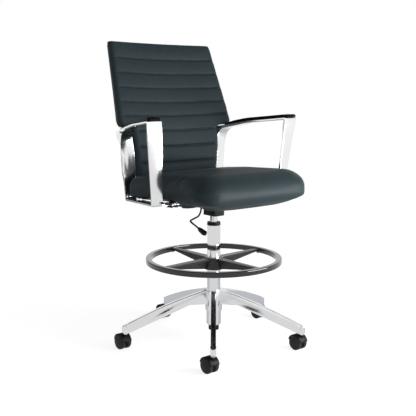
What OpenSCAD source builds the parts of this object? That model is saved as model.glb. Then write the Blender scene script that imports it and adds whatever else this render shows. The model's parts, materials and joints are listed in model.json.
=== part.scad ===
// Drafting chair: ribbed mid-height back and waterfall seat on a tilt mechanism, closed-loop cast arms,
// gas lift, foot ring on a four-spoke spider, and a five-leg cast base on twin-wheel castors.
// Millimetres. The origin is on the floor under the column axis, +Z is up and the sitter faces -Y.

/* [Base] */
// Radius from the column axis to the nose of a base leg
leg_reach = 352; // [330:1:380]
// Height of a leg's top edge at its nose
leg_nose_top = 89; // [84:1:100]
// Depth of a leg at its nose
leg_nose_depth = 28; // [22:1:32]
// Depth of a leg where it leaves the hub
leg_root_depth = 52; // [44:1:60]
// Thickness of a leg
leg_w = 18; // [16:1:24]
// Rise of a leg's top edge above the straight line from hub to nose
leg_camber = 9; // [4:1:16]
// Height of the top of the hub
hub_top = 202; // [190:1:220]
// Radius of the hub
hub_r = 31.5; // [29:0.5:38]
// Height of the step between hub and skirt
hub_step = 124; // [110:1:135]
// Radius of the skirt under the hub
skirt_r = 27.5; // [26.5:0.5:28.5]
// Turn of the first leg from the chair's +X
base_turn = 14; // [0:1:71]

/* [Castors] */
// Radius of a castor wheel
wheel_r = 27.5; // [25:0.5:28]
// Width of one castor wheel
wheel_w = 15; // [13:0.5:17]
// Gap between the two wheels of a castor
wheel_gap = 12; // [12:0.5:14]
// Distance from the swivel axis to the axle
castor_trail = 19; // [16:1:20]
// Distance of the swivel axis inside the nose of the leg
stem_inset = 12; // [11:1:18]
// Radius of the castor stem
stem_r = 5.5; // [4.5:0.5:6]

/* [Column] */
// Outer radius of the column tube
tube_r = 25; // [23:0.5:26]
// Wall of the column tube
tube_wall = 1.5; // [1:0.1:2.5]
// Height of the lower end of the column tube
tube_bottom = 68; // [60:1:80]
// Height of the upper end of the column tube
tube_top = 449; // [430:1:455]
// Height of the cap on the column tube
cap_h = 12; // [8:1:18]
// Radius of the gas cylinder
gas_r = 14; // [12:0.5:15]
// Travel of the gas lift
lift_travel = 250; // [200:1:260]

/* [Foot ring] */
// Outer radius of the foot ring
ring_r = 255; // [230:1:270]
// Width of the ring's band, seen from above
ring_w = 21; // [16:1:28]
// Height of the ring's band
ring_h = 20; // [14:1:26]
// Height of the top of the ring
ring_top = 329; // [320:1:340]
// Radius of the spider's hub
spider_hub_r = 36; // [33:1:42]
// Height of the spider's hub
spider_hub_h = 44; // [36:1:52]
// Turn of the first spoke from the chair's +X
spider_turn = 3; // [0:1:89]

/* [Mechanism] */
// Height of the underside of the mechanism's socket
mech_bottom = 486; // [484:1:490]
// Width of the socket block
socket_w = 46; // [42:1:52]
// Length of the socket block
socket_l = 65; // [56:1:70]
// Height of the tilt pivot
pivot_z = 542; // [540:1:544]
// Distance of the tilt pivot in front of the column axis
pivot_front = 70; // [60:1:80]
// Radius of the tilt pivot pin
pivot_r = 5; // [4:0.5:6]
// Radius of the height lever's rod
lever_r = 3.2; // [2.5:0.1:3.5]

/* [Seat] */
// Width of the seat cushion
seat_w = 506; // [470:1:520]
// Distance from the column axis to the front of the seat
seat_front = 271; // [250:1:280]
// Distance from the column axis to the back of the seat
seat_rear = 206; // [200:1:208]
// Height of the seat pan's underside over the floor, at the column axis
seat_z = 558; // [557:0.5:562]
// Slope of the seat at rest, front up
seat_pitch = 3.5; // [2:0.5:4]
// Height of the seat's crown above the pan's underside
seat_crown = 98; // [80:1:105]
// Thickness of the seat pan
pan_t = 12; // [8:1:15]

/* [Back] */
// Width of the back at its widest, just above the arms
back_w = 530; // [500:1:550]
// Width of the back at its top
back_top_w = 477; // [440:1:500]
// Gap between the back and the arms' rear posts
waist_gap = 1.4; // [1:0.1:20]
// Height of the back's top above the pan's underside
back_top = 588; // [540:1:620]
// Thickness of the back cushion
back_t = 32; // [24:1:36]
// Thickness of the back's outer shell
shell_t = 12; // [8:1:16]
// Radius of the back's sideways curve
back_wrap_r = 1400; // [1100:10:2000]

/* [Arms] */
// How far the arms stand out past the seat's sides at the front, at the top
arm_past_front_top = 95; // [86:1:110]
// How far the arms stand out past the seat's sides at the front, at the bottom
arm_past_front_low = 73; // [66:1:80]
// How far the arms stand out past the seat's sides at the rear, at the top
arm_past_rear_top = 2; // [0:0.5:8]
// How far the arms stand in from the seat's sides at the rear, at the bottom
arm_in_rear_low = 15; // [9:0.5:17]
// Width of the arm's band at the top of the front post
arm_w_front_top = 60; // [52:1:66]
// Width of the arm's band at the foot of the front post
arm_w_front_low = 43; // [36:1:46]
// Width of the arm's band at the rear
arm_w_rear = 49; // [44:1:54]
// Thickness of the arm's band
arm_t = 10; // [8:0.5:12]
// Height of the rail's top at the front, above the pan's underside
rail_front_h = 280; // [262:1:290]
// Thickness of the arm pads
pad_t = 12; // [9:1:16]

/* [Hidden] */
$fn = 48;

fit = 0.05;          // running clearance of a shaft in its bore
gap = 0.3;           // gap between pieces that only lie against each other
eps = 0.5;           // overshoot of a cut past the face it opens
leg_count = 5;
leg_step = 360 / leg_count;
far = 1000;

// Small shared functions
function lerp(a, b, t) = a + (b - a) * t;
function unit(v) = v / norm(v);
function turn_between(a, b) = (b - a + 540) % 360 - 180;

// Arc of n points that rounds the corner p1 between p0 and p2 with radius r
function fillet(p0, p1, p2, r, n) =
    let (
        u = unit(p0 - p1), v = unit(p2 - p1), half = acos(u * v) / 2,
        c = p1 + unit(u + v) * r / sin(half),
        a = p1 + u * r / tan(half) - c, b = p1 + v * r / tan(half) - c,
        a0 = atan2(a[1], a[0]), sweep = turn_between(a0, atan2(b[1], b[0]))
    )
    [for (i = [0:n - 1]) c + r * [cos(a0 + sweep * i / (n - 1)), sin(a0 + sweep * i / (n - 1))]];

// Closed outline through corners [x, y, radius, arc points]
function rounded(corners) =
    let (m = len(corners))
    [
        for (i = [0:m - 1])
            let (
                q = corners[i], before = corners[(i + m - 1) % m], after = corners[(i + 1) % m]
            )
            each fillet([before[0], before[1]], [q[0], q[1]], [after[0], after[1]], q[2], q[3])
    ];

// Smooth curve through points, n steps a stretch
function smooth_at(p, i, t) =
    let (
        a = p[max(i - 1, 0)], b = p[i], c = p[i + 1], d = p[min(i + 2, len(p) - 1)]
    )
    0.5 * (2 * b + (c - a) * t + (2 * a - 5 * b + 4 * c - d) * t * t + (3 * b - a - 3 * c + d) * t * t * t);
function smooth(p, n) = [
    for (i = [0:len(p) - 2]) for (k = [0:n - 1]) smooth_at(p, i, k / n),
    p[len(p) - 1]
];

// Path through points with each corner rounded off, starting d before it, in n steps
function bent(p, d, n) = [
    p[0],
    for (i = [1:len(p) - 2])
        let (a = p[i] + unit(p[i - 1] - p[i]) * d, b = p[i] + unit(p[i + 1] - p[i]) * d)
        for (k = [0:n]) let (t = k / n) a * (1 - t) * (1 - t) + p[i] * 2 * t * (1 - t) + b * t * t,
    p[len(p) - 1]
];

// Round wire along a path
module wire(path, r, sides) {
    m = len(path);
    dirs = [for (i = [0:m - 1]) unit(path[min(i + 1, m - 1)] - path[max(i - 1, 0)])];
    start = [0, 1, 0];
    sideways = [
        for (i = 0, n = unit(start - (start * dirs[0]) * dirs[0]); i < m; i = i + 1,
            n = i < m ? unit(n - (n * dirs[i]) * dirs[i]) : n) n
    ];
    points = [for (i = [0:m - 1]) for (j = [0:sides - 1])
        let (a = 360 * j / sides)
        path[i] + r * (cos(a) * sideways[i] + sin(a) * cross(dirs[i], sideways[i]))];
    tube(points, m, sides);
}

// Closed tube over rings of points, with flat ends
module tube(points, rings, sides) {
    faces = concat(
        [[for (j = [0:sides - 1]) j]],
        [for (i = [0:rings - 2]) for (j = [0:sides - 1]) each
            let (q = (j + 1) % sides, a = i * sides, b = (i + 1) * sides)
            [[a + j, b + j, b + q], [a + j, b + q, a + q]]],
        [[for (j = [sides - 1:-1:0]) (rings - 1) * sides + j]]
    );
    polyhedron(points, faces, convexity = 6);
}

// Side outline [y, z] pushed out along X, centred
module side_slab(w) {
    rotate([90, 0, 90]) linear_extrude(height = w, center = true) children();
}

// Cylinder along X or Y through a point
module along_x(h, r) { rotate([0, 90, 0]) cylinder(h = h, r = r, center = true); }
module along_y(h, r) { rotate([90, 0, 0]) cylinder(h = h, r = r, center = true); }

module at_leg(k) { rotate([0, 0, base_turn + leg_step * (k - 1)]) children(); }

// ---------------------------------------------------------------- base
root_r = hub_r - 4;                  // where a leg is buried in the hub
nose_bottom = leg_nose_top - leg_nose_depth;
root_bottom = hub_top - leg_root_depth;
stem_circle = leg_reach - stem_inset;
stem_top = leg_nose_top - 6;

module leg_outline() {
    run = leg_reach - root_r;
    steps = 10;
    top = [for (i = [0:steps])
        let (t = i / steps)
        [root_r + run * t, lerp(hub_top, leg_nose_top, t) + leg_camber * 4 * t * (1 - t)]];
    polygon(concat(
        top,
        [[leg_reach, nose_bottom + 6], [leg_reach - 8, nose_bottom],
         [stem_circle - 20, nose_bottom + 6], [root_r + 70, root_bottom], [root_r, root_bottom - 2]]
    ));
}

module base_leg() {
    intersection() {
        rotate([90, 0, 0]) linear_extrude(height = far, center = true) leg_outline();
        union() {
            translate([0, -leg_w / 2, 0]) cube([leg_reach - leg_w / 2, leg_w, hub_top + 20]);
            translate([leg_reach - leg_w / 2, 0, 0]) cylinder(h = hub_top, r = leg_w / 2);
            translate([stem_circle, 0, 0]) cylinder(h = hub_top, r = stem_r + 5);
        }
    }
}

module base_casting() {
    color("silver") difference() {
        union() {
            translate([0, 0, hub_step]) cylinder(h = hub_top - hub_step, r = hub_r);
            translate([0, 0, tube_bottom + 2]) cylinder(h = hub_step - tube_bottom - 2, r = skirt_r);
            for (k = [1:leg_count]) at_leg(k) base_leg();
        }
        translate([0, 0, -eps]) cylinder(h = far, r = tube_r + fit);
        for (k = [1:leg_count]) at_leg(k) translate([stem_circle, 0, 0])
            cylinder(h = stem_top, r = stem_r + fit);
    }
}

// ---------------------------------------------------------------- castors, each in its own upright frame
hood_top = nose_bottom - 1;
axle_r = 3.5;
hood_wall = 2.5;
wheel_over = 1.5;                    // clearance of the hood over the tread
hood_r = wheel_r + wheel_over + hood_wall;
web_w = wheel_gap - 1;
wheel_mid = wheel_gap / 2 + wheel_w / 2;
wheel_dish = 3;
axle_l = wheel_gap + 2 * (wheel_w - 6) - 0.6;
stem_collar = 2;
spigot_r = 3.5;                      // lower end of the stem, in the hood

module at_castor(k) {
    a = base_turn + leg_step * (k - 1);
    translate([stem_circle * cos(a), stem_circle * sin(a), 0]) children();
}
module at_axle() { translate([0, castor_trail, wheel_r]) children(); }

module castor_stem(k) {
    color("dimgray") at_castor(k) {
        translate([0, 0, nose_bottom - 0.5]) cylinder(h = stem_top - nose_bottom + 0.3, r = stem_r);
        translate([0, 0, hood_top - 18]) cylinder(h = 20, r = spigot_r);
        translate([0, 0, hood_top + 0.1])
            cylinder(h = nose_bottom - hood_top - 0.2, r = stem_r + stem_collar);
    }
}

module castor_hood(k) {
    color("#1c1c1e") at_castor(k) difference() {
        union() {
            at_axle() along_x(web_w, wheel_r - 5);
            translate([0, 0, wheel_r]) cylinder(h = hood_top - wheel_r, r = web_w / 2);
            translate([-web_w / 2, 0, wheel_r]) cube([web_w, castor_trail, hood_top - wheel_r - 3]);
            intersection() {
                at_axle() difference() {
                    along_x(wheel_gap + 2 * wheel_w - 4, hood_r);
                    along_x(wheel_gap + 2 * wheel_w, hood_r - hood_wall);
                }
                translate([-far / 2, -far / 2, wheel_r + 6]) cube([far, far, hood_top - 0.5 - wheel_r - 6]);
            }
            intersection() {
                at_axle() along_x(web_w, hood_r - 1);
                translate([-far / 2, -far / 2, wheel_r]) cube([far, far, hood_top - 0.5 - wheel_r]);
            }
        }
        at_axle() along_x(far, axle_r + fit);
        translate([0, 0, hood_top - 18.2]) cylinder(h = 20, r = spigot_r + fit);
    }
}

module castor_axle(k) {
    color("silver") at_castor(k) at_axle() along_x(axle_l, axle_r);
}

// Half section of a wheel: domed on its outer face, recessed on its inner face
module wheel(side) {
    rim = 2.5;
    dome = [for (i = [0:8])
        let (t = i / 8) [lerp(wheel_r - rim, 0.01, t), wheel_w / 2 + wheel_dish * sin(90 * t)]];
    difference() {
        rotate([0, side * 90, 0]) rotate_extrude($fn = 64) polygon(concat(
            [
                [0.01, -wheel_w / 2], [wheel_r - 1, -wheel_w / 2],
                [wheel_r, -wheel_w / 2 + 1], [wheel_r, wheel_w / 2 - 3]
            ],
            dome
        ));
        translate([-side * 6, 0, 0]) along_x(wheel_w, axle_r + fit);
    }
}

module wheel_at(k, side) {
    color("#141416") at_castor(k) at_axle() translate([side * wheel_mid, 0, 0]) wheel(side);
}

// ---------------------------------------------------------------- column and gas lift
bore_r = tube_r - tube_wall;
floor_t = 3;
foot_r = 19.5;
foot_bottom = 47;
rod_r = 5;
bush_l = 70;
bearing_h = 6;
gas_wall = 2;
gas_bottom = tube_bottom + floor_t + bearing_h + 20;
gas_top = mech_bottom + 41;
taper_h = gas_top - mech_bottom;
taper_in = 0.8;
head_h = 12;
rod_top = gas_bottom + lift_travel + 40;
button_r = 4;
button_up = 6;

module column_tube() {
    color("gainsboro") difference() {
        translate([0, 0, tube_bottom]) cylinder(h = tube_top - tube_bottom, r = tube_r);
        translate([0, 0, tube_bottom + floor_t]) cylinder(h = far, r = bore_r);
        cylinder(h = far, r = rod_r + fit);
    }
}

module column_bush() {
    color("#1a1a1a") difference() {
        union() {
            translate([0, 0, tube_top]) cylinder(h = cap_h, r = tube_r);
            translate([0, 0, tube_top - bush_l]) cylinder(h = bush_l + 1, r = bore_r - fit);
        }
        cylinder(h = far, r = gas_r + fit);
    }
}

module column_foot() {
    color("#1a1a1a") difference() {
        translate([0, 0, foot_bottom]) cylinder(h = tube_bottom - foot_bottom, r = foot_r);
        translate([0, 0, foot_bottom + 4]) cylinder(h = far, r = foot_r - 3);
    }
}

module thrust_bearing() {
    color("silver") translate([0, 0, tube_bottom + floor_t]) difference() {
        cylinder(h = bearing_h, r = 16);
        translate([0, 0, -eps]) cylinder(h = far, r = rod_r + 1);
    }
}

module piston_rod() {
    color("silver") {
        translate([0, 0, foot_bottom + 10]) cylinder(h = rod_top - foot_bottom - 10, r = rod_r);
        translate([0, 0, rod_top]) cylinder(h = head_h, r = gas_r - gas_wall - fit);
        translate([0, 0, tube_bottom + floor_t + bearing_h]) cylinder(h = 4, r = 12);
    }
}

module rod_clip() {
    color("dimgray") translate([0, 0, tube_bottom - 4]) difference() {
        cylinder(h = 3.7, r = 10);
        translate([0, 0, -eps]) cylinder(h = 10, r = rod_r + fit);
    }
}

module gas_cylinder() {
    color("#d0d0d4") difference() {
        union() {
            translate([0, 0, gas_bottom]) cylinder(h = mech_bottom - gas_bottom, r = gas_r);
            translate([0, 0, mech_bottom]) cylinder(h = taper_h, r1 = gas_r, r2 = gas_r - taper_in);
        }
        translate([0, 0, gas_bottom + 6]) cylinder(h = gas_top - gas_bottom - 30, r = gas_r - gas_wall);
        cylinder(h = gas_bottom + 10, r = rod_r + fit);
        translate([0, 0, gas_top - 12]) cylinder(h = far, r = button_r + fit);
    }
}

module release_button() {
    color("dimgray") translate([0, 0, gas_top - 7]) cylinder(h = 7 + button_up, r = button_r);
}

// ---------------------------------------------------------------- foot ring
spoke_t = 8;
spoke_root_w = 34;
spoke_tip_w = 22;
tenon = 11;                          // how far a spoke plugs into the ring
ring_inner = ring_r - ring_w;
ring_edge = 4;
spoke_top = ring_top - 4;
spider_hub_top = ring_top - 2;
ring_bolt_r = 2.5;
ring_bolt_at = ring_inner + tenon - 5;
spoke_boss_at = 72;

module at_spokes() { for (k = [0:3]) rotate([0, 0, spider_turn + 90 * k]) children(); }

module footring_rim() {
    color("#4a4c50") difference() {
        rotate_extrude($fn = 128) polygon(rounded([
            [ring_inner, ring_top - ring_h, ring_edge, 5], [ring_r, ring_top - ring_h, ring_edge, 5],
            [ring_r, ring_top, ring_edge, 5], [ring_inner, ring_top, ring_edge, 5]
        ]));
        at_spokes() translate([ring_inner - 10, -spoke_tip_w / 2 - 0.1, spoke_top - spoke_t - 0.1])
            cube([10 + tenon + 0.2, spoke_tip_w + 0.2, spoke_t + 0.2]);
        at_spokes() translate([ring_bolt_at, 0, 0]) cylinder(h = spoke_top - 1, r = ring_bolt_r + fit);
    }
}

module footring_spider() {
    web_z = spider_hub_top - spider_hub_h + 4;
    color("#5a5550") difference() {
        union() {
            translate([0, 0, spider_hub_top - spider_hub_h]) cylinder(h = spider_hub_h, r = spider_hub_r);
            at_spokes() {
                translate([0, 0, spoke_top - spoke_t]) linear_extrude(height = spoke_t) polygon([
                    [0, -spoke_root_w / 2], [ring_inner - 6, -spoke_tip_w / 2],
                    [ring_inner + tenon, -spoke_tip_w / 2], [ring_inner + tenon, spoke_tip_w / 2],
                    [ring_inner - 6, spoke_tip_w / 2], [0, spoke_root_w / 2]
                ]);
                rotate([90, 0, 0]) linear_extrude(height = 6, center = true) polygon([
                    [0, spoke_top - spoke_t + 1], [0, web_z], [spider_hub_r + 4, web_z],
                    [ring_inner - 14, spoke_top - spoke_t - 3], [ring_inner - 14, spoke_top - spoke_t + 1]
                ]);
                translate([spoke_boss_at, 0, spoke_top - spoke_t - 9]) cylinder(h = 10, r = 7);
            }
        }
        translate([0, 0, -eps]) cylinder(h = far, r = tube_r + fit);
        at_spokes() translate([ring_bolt_at, 0, 0]) cylinder(h = spoke_top - 2, r = ring_bolt_r + fit);
    }
}

module footring_bolts() {
    head_r = 4.5;
    head_h = 3;
    low = ring_top - ring_h;
    color("dimgray") at_spokes() translate([ring_bolt_at, 0, 0]) {
        translate([0, 0, low - 0.2]) cylinder(h = spoke_top - 3 - low, r = ring_bolt_r);
        translate([0, 0, low - head_h]) cylinder(h = head_h - 0.1, r = head_r, $fn = 6);
    }
}

// ---------------------------------------------------------------- tilt mechanism
housing_half = 34;
housing_wall = 3;
housing_floor = 523;
housing_front = 88;
housing_rear = 36;
socket_top = gas_top + 2;
ear_top = pivot_z + 9;
lever_z = gas_top + button_up + gap + lever_r;
lever_x = -(housing_half + 7);
lever_pin_r = 2;
lug_y = 7;
lug_t = 3;
spring_wire = 2;
spring_r = pivot_r + gap + spring_wire;

module housing_side() {
    polygon([
        [-housing_front, housing_floor], [housing_rear, housing_floor], [housing_rear, socket_top],
        [-pivot_front + 16, socket_top + 4], [-pivot_front + 9, ear_top], [-housing_front + 4, ear_top],
        [-housing_front, ear_top - 8]
    ]);
}

module mechanism_housing() {
    color("#202022") difference() {
        union() {
            difference() {
                side_slab(2 * housing_half) housing_side();
                translate([-housing_half + housing_wall, -housing_front - eps, housing_floor + housing_wall])
                    cube([2 * (housing_half - housing_wall), housing_front - socket_l / 2 + eps, 60]);
            }
            translate([-socket_w / 2, -socket_l / 2, mech_bottom])
                cube([socket_w, socket_l, socket_top - mech_bottom]);
            for (s = [-1, 1])
                translate([lever_x - 6, s * lug_y + (s > 0 ? 0 : -lug_t), socket_top - 4])
                    cube([-lever_x + 6 - housing_half + 4, lug_t, lever_z - socket_top + 8]);
        }
        translate([0, 0, mech_bottom - 0.01])
            cylinder(h = taper_h, r1 = gas_r + fit, r2 = gas_r - taper_in + fit);
        cylinder(h = far, r = gas_r - taper_in + fit);
        translate([0, -pivot_front, pivot_z]) along_x(far, pivot_r + fit);
        translate([lever_x, 0, lever_z]) along_y(4 * lug_y, lever_pin_r + fit);
        // passage for the lever's inner run over the left wall
        translate([-housing_half - 1, -lever_r - 2, lever_z - lever_r - 4])
            cube([socket_w, 2 * lever_r + 4, 30]);
    }
}

module tilt_pin() {
    color("silver") translate([0, -pivot_front, pivot_z]) along_x(2 * housing_half + 14, pivot_r);
}

// Coil of round wire about an axis along X
module coil(x0, x1, r, turns, thick) {
    sides = 6;
    per_turn = 14;
    rings = turns * per_turn;
    points = [for (i = [0:rings]) for (j = [0:sides - 1])
        let (a = 360 * i / per_turn, b = 360 * j / sides, d = r + thick * cos(b))
        [lerp(x0, x1, i / rings) + thick * sin(b), d * cos(a), d * sin(a)]];
    tube(points, rings + 1, sides);
}

module tilt_springs() {
    inner = spring_wire + gap / 2;
    outer = housing_half - housing_wall - spring_wire - gap;
    color("slategray") for (s = [-1, 1]) translate([0, -pivot_front, pivot_z])
        coil(s > 0 ? inner : -outer, s > 0 ? outer : -inner, spring_r, 4, spring_wire);
}

module lever_pin() {
    color("silver") translate([lever_x, 0, lever_z]) along_y(2 * (lug_y + lug_t) + 1, lever_pin_r);
}

// Route of the height lever's rod: over the button, through the pin, down, out and forward
paddle_start = [lever_x - 79, -62, lever_z - 79.3];
lever_path = [
    [6, 0, lever_z], [lever_x - 8, 1, lever_z - 1.5], [lever_x - 13, 6, lever_z - 12],
    [lever_x - 15, 8, lever_z - 34.3], [lever_x - 25, 8, lever_z - 49.3], [lever_x - 67, 0, lever_z - 58.3],
    [lever_x - 76, -7, lever_z - 60.8], paddle_start
];

module height_lever() {
    color("#202022") difference() {
        union() {
            wire(bent(lever_path, 6, 3), lever_r, 12);
            translate([lever_x, 0, lever_z]) along_y(2 * lug_y - 1, lever_pin_r + 3);
        }
        translate([lever_x, 0, lever_z]) along_y(far, lever_pin_r + fit);
    }
}

module lever_paddle() {
    paddle_l = 31;
    fall = atan2(20, 52);
    color("#161618") translate(paddle_start) rotate([fall, 0, 0]) translate([0, -paddle_l, 0]) difference() {
        union() {
            hull() {
                translate([0, 0, -5.5]) cylinder(h = 11, r = 9.5, $fn = 32);
                translate([0, paddle_l - 8, -5]) cylinder(h = 10, r = 7, $fn = 32);
            }
            translate([0, paddle_l - 4, 0]) along_y(10, lever_r + 2.5);
        }
        translate([0, paddle_l, 0]) along_y(16, lever_r + fit);
    }
}

// ---------------------------------------------------------------- seat, in the sloping seat frame
module in_seat() { translate([0, 0, seat_z]) rotate([-seat_pitch, 0, 0]) children(); }
function to_seat(y, z) = [
    y * cos(seat_pitch) - (z - seat_z) * sin(seat_pitch),
    y * sin(seat_pitch) + (z - seat_z) * cos(seat_pitch)
];

plate_t = 4;
plate_half = 86;
plate_front = 100;
plate_rear = 112;
ear_t = 3;
pivot_at = to_seat(-pivot_front, pivot_z);
bolt_r = 3;
seat_bolt_x = 70;
seat_bolt_y = [-85, 95];
pan_side_in = 32;                    // how far the pan's edge lies inside the cushion's side
pan_front_in = 91;
pan_rear_in = 22;
pan_half = seat_w / 2 - pan_side_in;
pan_front = seat_front - pan_front_in;
pan_rear = seat_rear - pan_rear_in;
pan_corner = 50;
skirt_z = 4;                         // underside of the cushion's sides
seat_corner = 74;
seat_bow = 5;                        // how far the middle of the nose stands out past its ends
bolt_grip = 7;                       // length of a bolt in the pan

module seat_plate() {
    color("#242426") in_seat() difference() {
        union() {
            translate([-plate_half, -plate_front, -plate_t])
                cube([2 * plate_half, plate_front + plate_rear, plate_t]);
            for (s = [-1, 1]) translate([s * (housing_half + 1 + ear_t / 2), 0, 0]) side_slab(ear_t) hull() {
                translate(pivot_at) circle(r = pivot_r + 5);
                translate([pivot_at[0] - 14, -plate_t]) square([28, 1]);
            }
        }
        translate([-58, -34, -plate_t - eps]) cube([98, 72, plate_t + 1]);
        translate([0, pivot_at[0], pivot_at[1]]) along_x(far, pivot_r + fit);
        for (x = [-seat_bolt_x, seat_bolt_x]) for (y = seat_bolt_y)
            translate([x, y, -far / 2]) cylinder(h = far, r = bolt_r + fit);
    }
}

module seat_pan() {
    color("#2a2a2c") in_seat() difference() {
        linear_extrude(height = pan_t) polygon(rounded([
            [-pan_half, -pan_front, pan_corner, 9], [pan_half, -pan_front, pan_corner, 9],
            [pan_half, pan_rear, pan_corner, 9], [-pan_half, pan_rear, pan_corner, 9]
        ]));
        for (x = [-seat_bolt_x, seat_bolt_x]) for (y = seat_bolt_y)
            translate([x, y, -eps]) cylinder(h = bolt_grip + 1 + eps, r = bolt_r + fit);
        for (s = [-1, 1]) for (x = [bracket_bolt_x, bracket_bolt_x + 26])
            translate([s * x, foot_y, -eps]) cylinder(h = bolt_grip + 1 + eps, r = bolt_r + fit);
        for (y = bar_bolt_y) translate([0, y, -eps]) cylinder(h = bolt_grip + 1 + eps, r = bolt_r + fit);
    }
}

module seat_bolts() {
    color("dimgray") in_seat() for (s = [-1, 1]) for (y = seat_bolt_y) translate([s * seat_bolt_x, y, 0]) {
        translate([0, 0, -plate_t - 0.2]) cylinder(h = plate_t + bolt_grip, r = bolt_r);
        translate([0, 0, -plate_t - 4.2]) cylinder(h = 4, r = 6, $fn = 6);
    }
}

// Side outline of the seat cushion: flat rear, crowned top, waterfall nose that hangs in front of the pan
nose_low = -28;
module seat_side() {
    polygon(rounded([
        [seat_rear, skirt_z, 4, 4], [seat_rear, seat_crown - 24, 14, 6], [60, seat_crown - 5, 260, 6],
        [-seat_front + 136, seat_crown + 3, 150, 7], [-seat_front + 16, seat_crown - 24, 72, 9],
        [-seat_front - 3, nose_low + 40, 44, 8], [-seat_front + 20, nose_low, 20, 6],
        [foot_y - 62, nose_low + 12, 30, 5], [foot_y - 32, skirt_z, 12, 4]
    ]));
}

// What the seat's rear leaves free for the back
module back_recess() {
    half = waist_half + 6;
    difference() {
        translate([-half, seat_rear - 60, -100]) cube([2 * half, 120, 300]);
        translate([0, wrap_axis_y, -110]) cylinder(h = 320, r = back_wrap_r + 2, $fn = 240);
    }
}

module seat_cushion() {
    half = seat_w / 2;
    side_low = nose_low + 16;
    pocket = pan_half + gap;
    color("#333a3d") in_seat() difference() {
        intersection() {
            side_slab(seat_w + 10) seat_side();
            translate([0, 0, -far / 2]) linear_extrude(height = far) polygon(rounded([
                [-half, -seat_front + seat_bow, seat_corner, 9], [0, -seat_front, 700, 7],
                [half, -seat_front + seat_bow, seat_corner, 9],
                [half, seat_rear, 24, 6], [-half, seat_rear, 24, 6]
            ]));
            rotate([90, 0, 0]) linear_extrude(height = far, center = true) polygon(rounded([
                [-half, side_low, 32, 6], [-half / 2, nose_low - 2, 330, 7],
                [half / 2, nose_low - 2, 330, 7], [half, side_low, 32, 6],
                [half, seat_crown - 20, 56, 8], [0, seat_crown + 8, 400, 7], [-half, seat_crown - 20, 56, 8]
            ]));
        }
        translate([-pocket, -pan_front - gap, -20])
            cube([2 * pocket, pan_front + pan_rear + 2 * gap, pan_t + gap + 20]);
        back_recess();
    }
}

// ---------------------------------------------------------------- back
bar_w = 64;
bar_t = 6;
bar_bolt_y = [134, 168];
back_bottom = 38;
back_depth = back_t + shell_t;
shell_inset = 9;                     // how far the shell's edge lies inside the cushion's
// Front face of the back on the centre line: [y, z] in the seat frame
back_line = [
    [seat_rear + 3, back_bottom], [seat_rear + 3, 120], [seat_rear + 4, 195], [seat_rear + 10, 275],
    [seat_rear + 30, 364], [seat_rear + 56, 460], [seat_rear + 90, back_top]
];
back_curve = smooth(back_line, 4);
shoulder_z = rail_front_h - 14;      // underside of the back's wings, over the arms
wrap_axis_y = seat_rear - back_wrap_r;

module back_outline(inset) {
    w = back_w / 2 - inset;
    t = back_top_w / 2 - inset;
    n = waist_half - inset;
    low = shoulder_z + inset;
    m = waist_at(low) - inset;
    polygon(rounded([
        [-n + 2, back_bottom + inset, 12, 5], [n - 2, back_bottom + inset, 12, 5], [m, low - 4, 8, 5],
        [w - 2, low, 6, 5], [w + 2, low + 14, 10, 4], [t, back_top - inset, 7, 5],
        [-t, back_top - inset, 7, 5], [-w - 2, low + 14, 10, 4], [-w + 2, low, 6, 5],
        [-m, low - 4, 8, 5]
    ]));
}

// Slab that follows the back's curve from depth d0 to d1 behind its front face
module back_slab(d0, d1) {
    front = [for (p = back_curve) [p[0] - wrap_axis_y + d0, p[1]]];
    rear = [for (i = [len(back_curve) - 1:-1:0]) [back_curve[i][0] - wrap_axis_y + d1, back_curve[i][1]]];
    translate([0, wrap_axis_y, 0]) rotate([0, 0, 75]) rotate_extrude(angle = 30, $fn = 240)
        polygon(concat(front, rear));
}

module back_piece(d0, d1, inset) {
    intersection() {
        back_slab(d0, d1);
        rotate([90, 0, 0]) linear_extrude(height = far, center = true) back_outline(inset);
    }
}

module back_cushion() { color("#333a3d") in_seat() back_piece(0, back_t - gap, 0); }

module back_shell() {
    color("#1e2022") in_seat() difference() {
        back_piece(back_t, back_depth, shell_inset);
        for (z = back_bolt_z) translate([0, bar_face, z]) along_y(2 * shell_t + 10, bolt_r + fit);
    }
}

// Flat bar from under the pan up behind the back
back_bolt_z = [110, 165];
bar_face = seat_rear + 4 + back_depth + gap;
bar_top = 190;

module back_bar() {
    under = -gap;
    start = bar_bolt_y[0] - 16;
    color("#242426") in_seat() difference() {
        side_slab(bar_w) polygon(concat(
            [[start, under - bar_t], [start, under]],
            fillet([start, under], [bar_face, under], [bar_face, bar_top], 24, 7),
            [[bar_face, bar_top], [bar_face + bar_t, bar_top]],
            fillet(
                [bar_face + bar_t, bar_top], [bar_face + bar_t, under - bar_t], [start, under - bar_t],
                24 + bar_t, 7
            )
        ));
        for (y = bar_bolt_y) translate([0, y, -far / 2]) cylinder(h = far, r = bolt_r + fit);
        for (z = back_bolt_z) translate([0, bar_face, z]) along_y(60, bolt_r + fit);
    }
}

module back_bolts() {
    color("dimgray") in_seat() for (y = bar_bolt_y) translate([0, y, -gap - bar_t]) {
        translate([0, 0, -4.1]) cylinder(h = 4, r = 6, $fn = 6);
        translate([0, 0, -0.2]) cylinder(h = bar_t + bolt_grip, r = bolt_r);
    }
    color("dimgray") in_seat() for (z = back_bolt_z) translate([0, bar_face + bar_t, z]) rotate([90, 0, 0]) {
        translate([0, 0, -4.1]) cylinder(h = 4, r = 6, $fn = 6);
        translate([0, 0, -0.2]) cylinder(h = bar_t + 8, r = bolt_r);
    }
}

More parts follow.
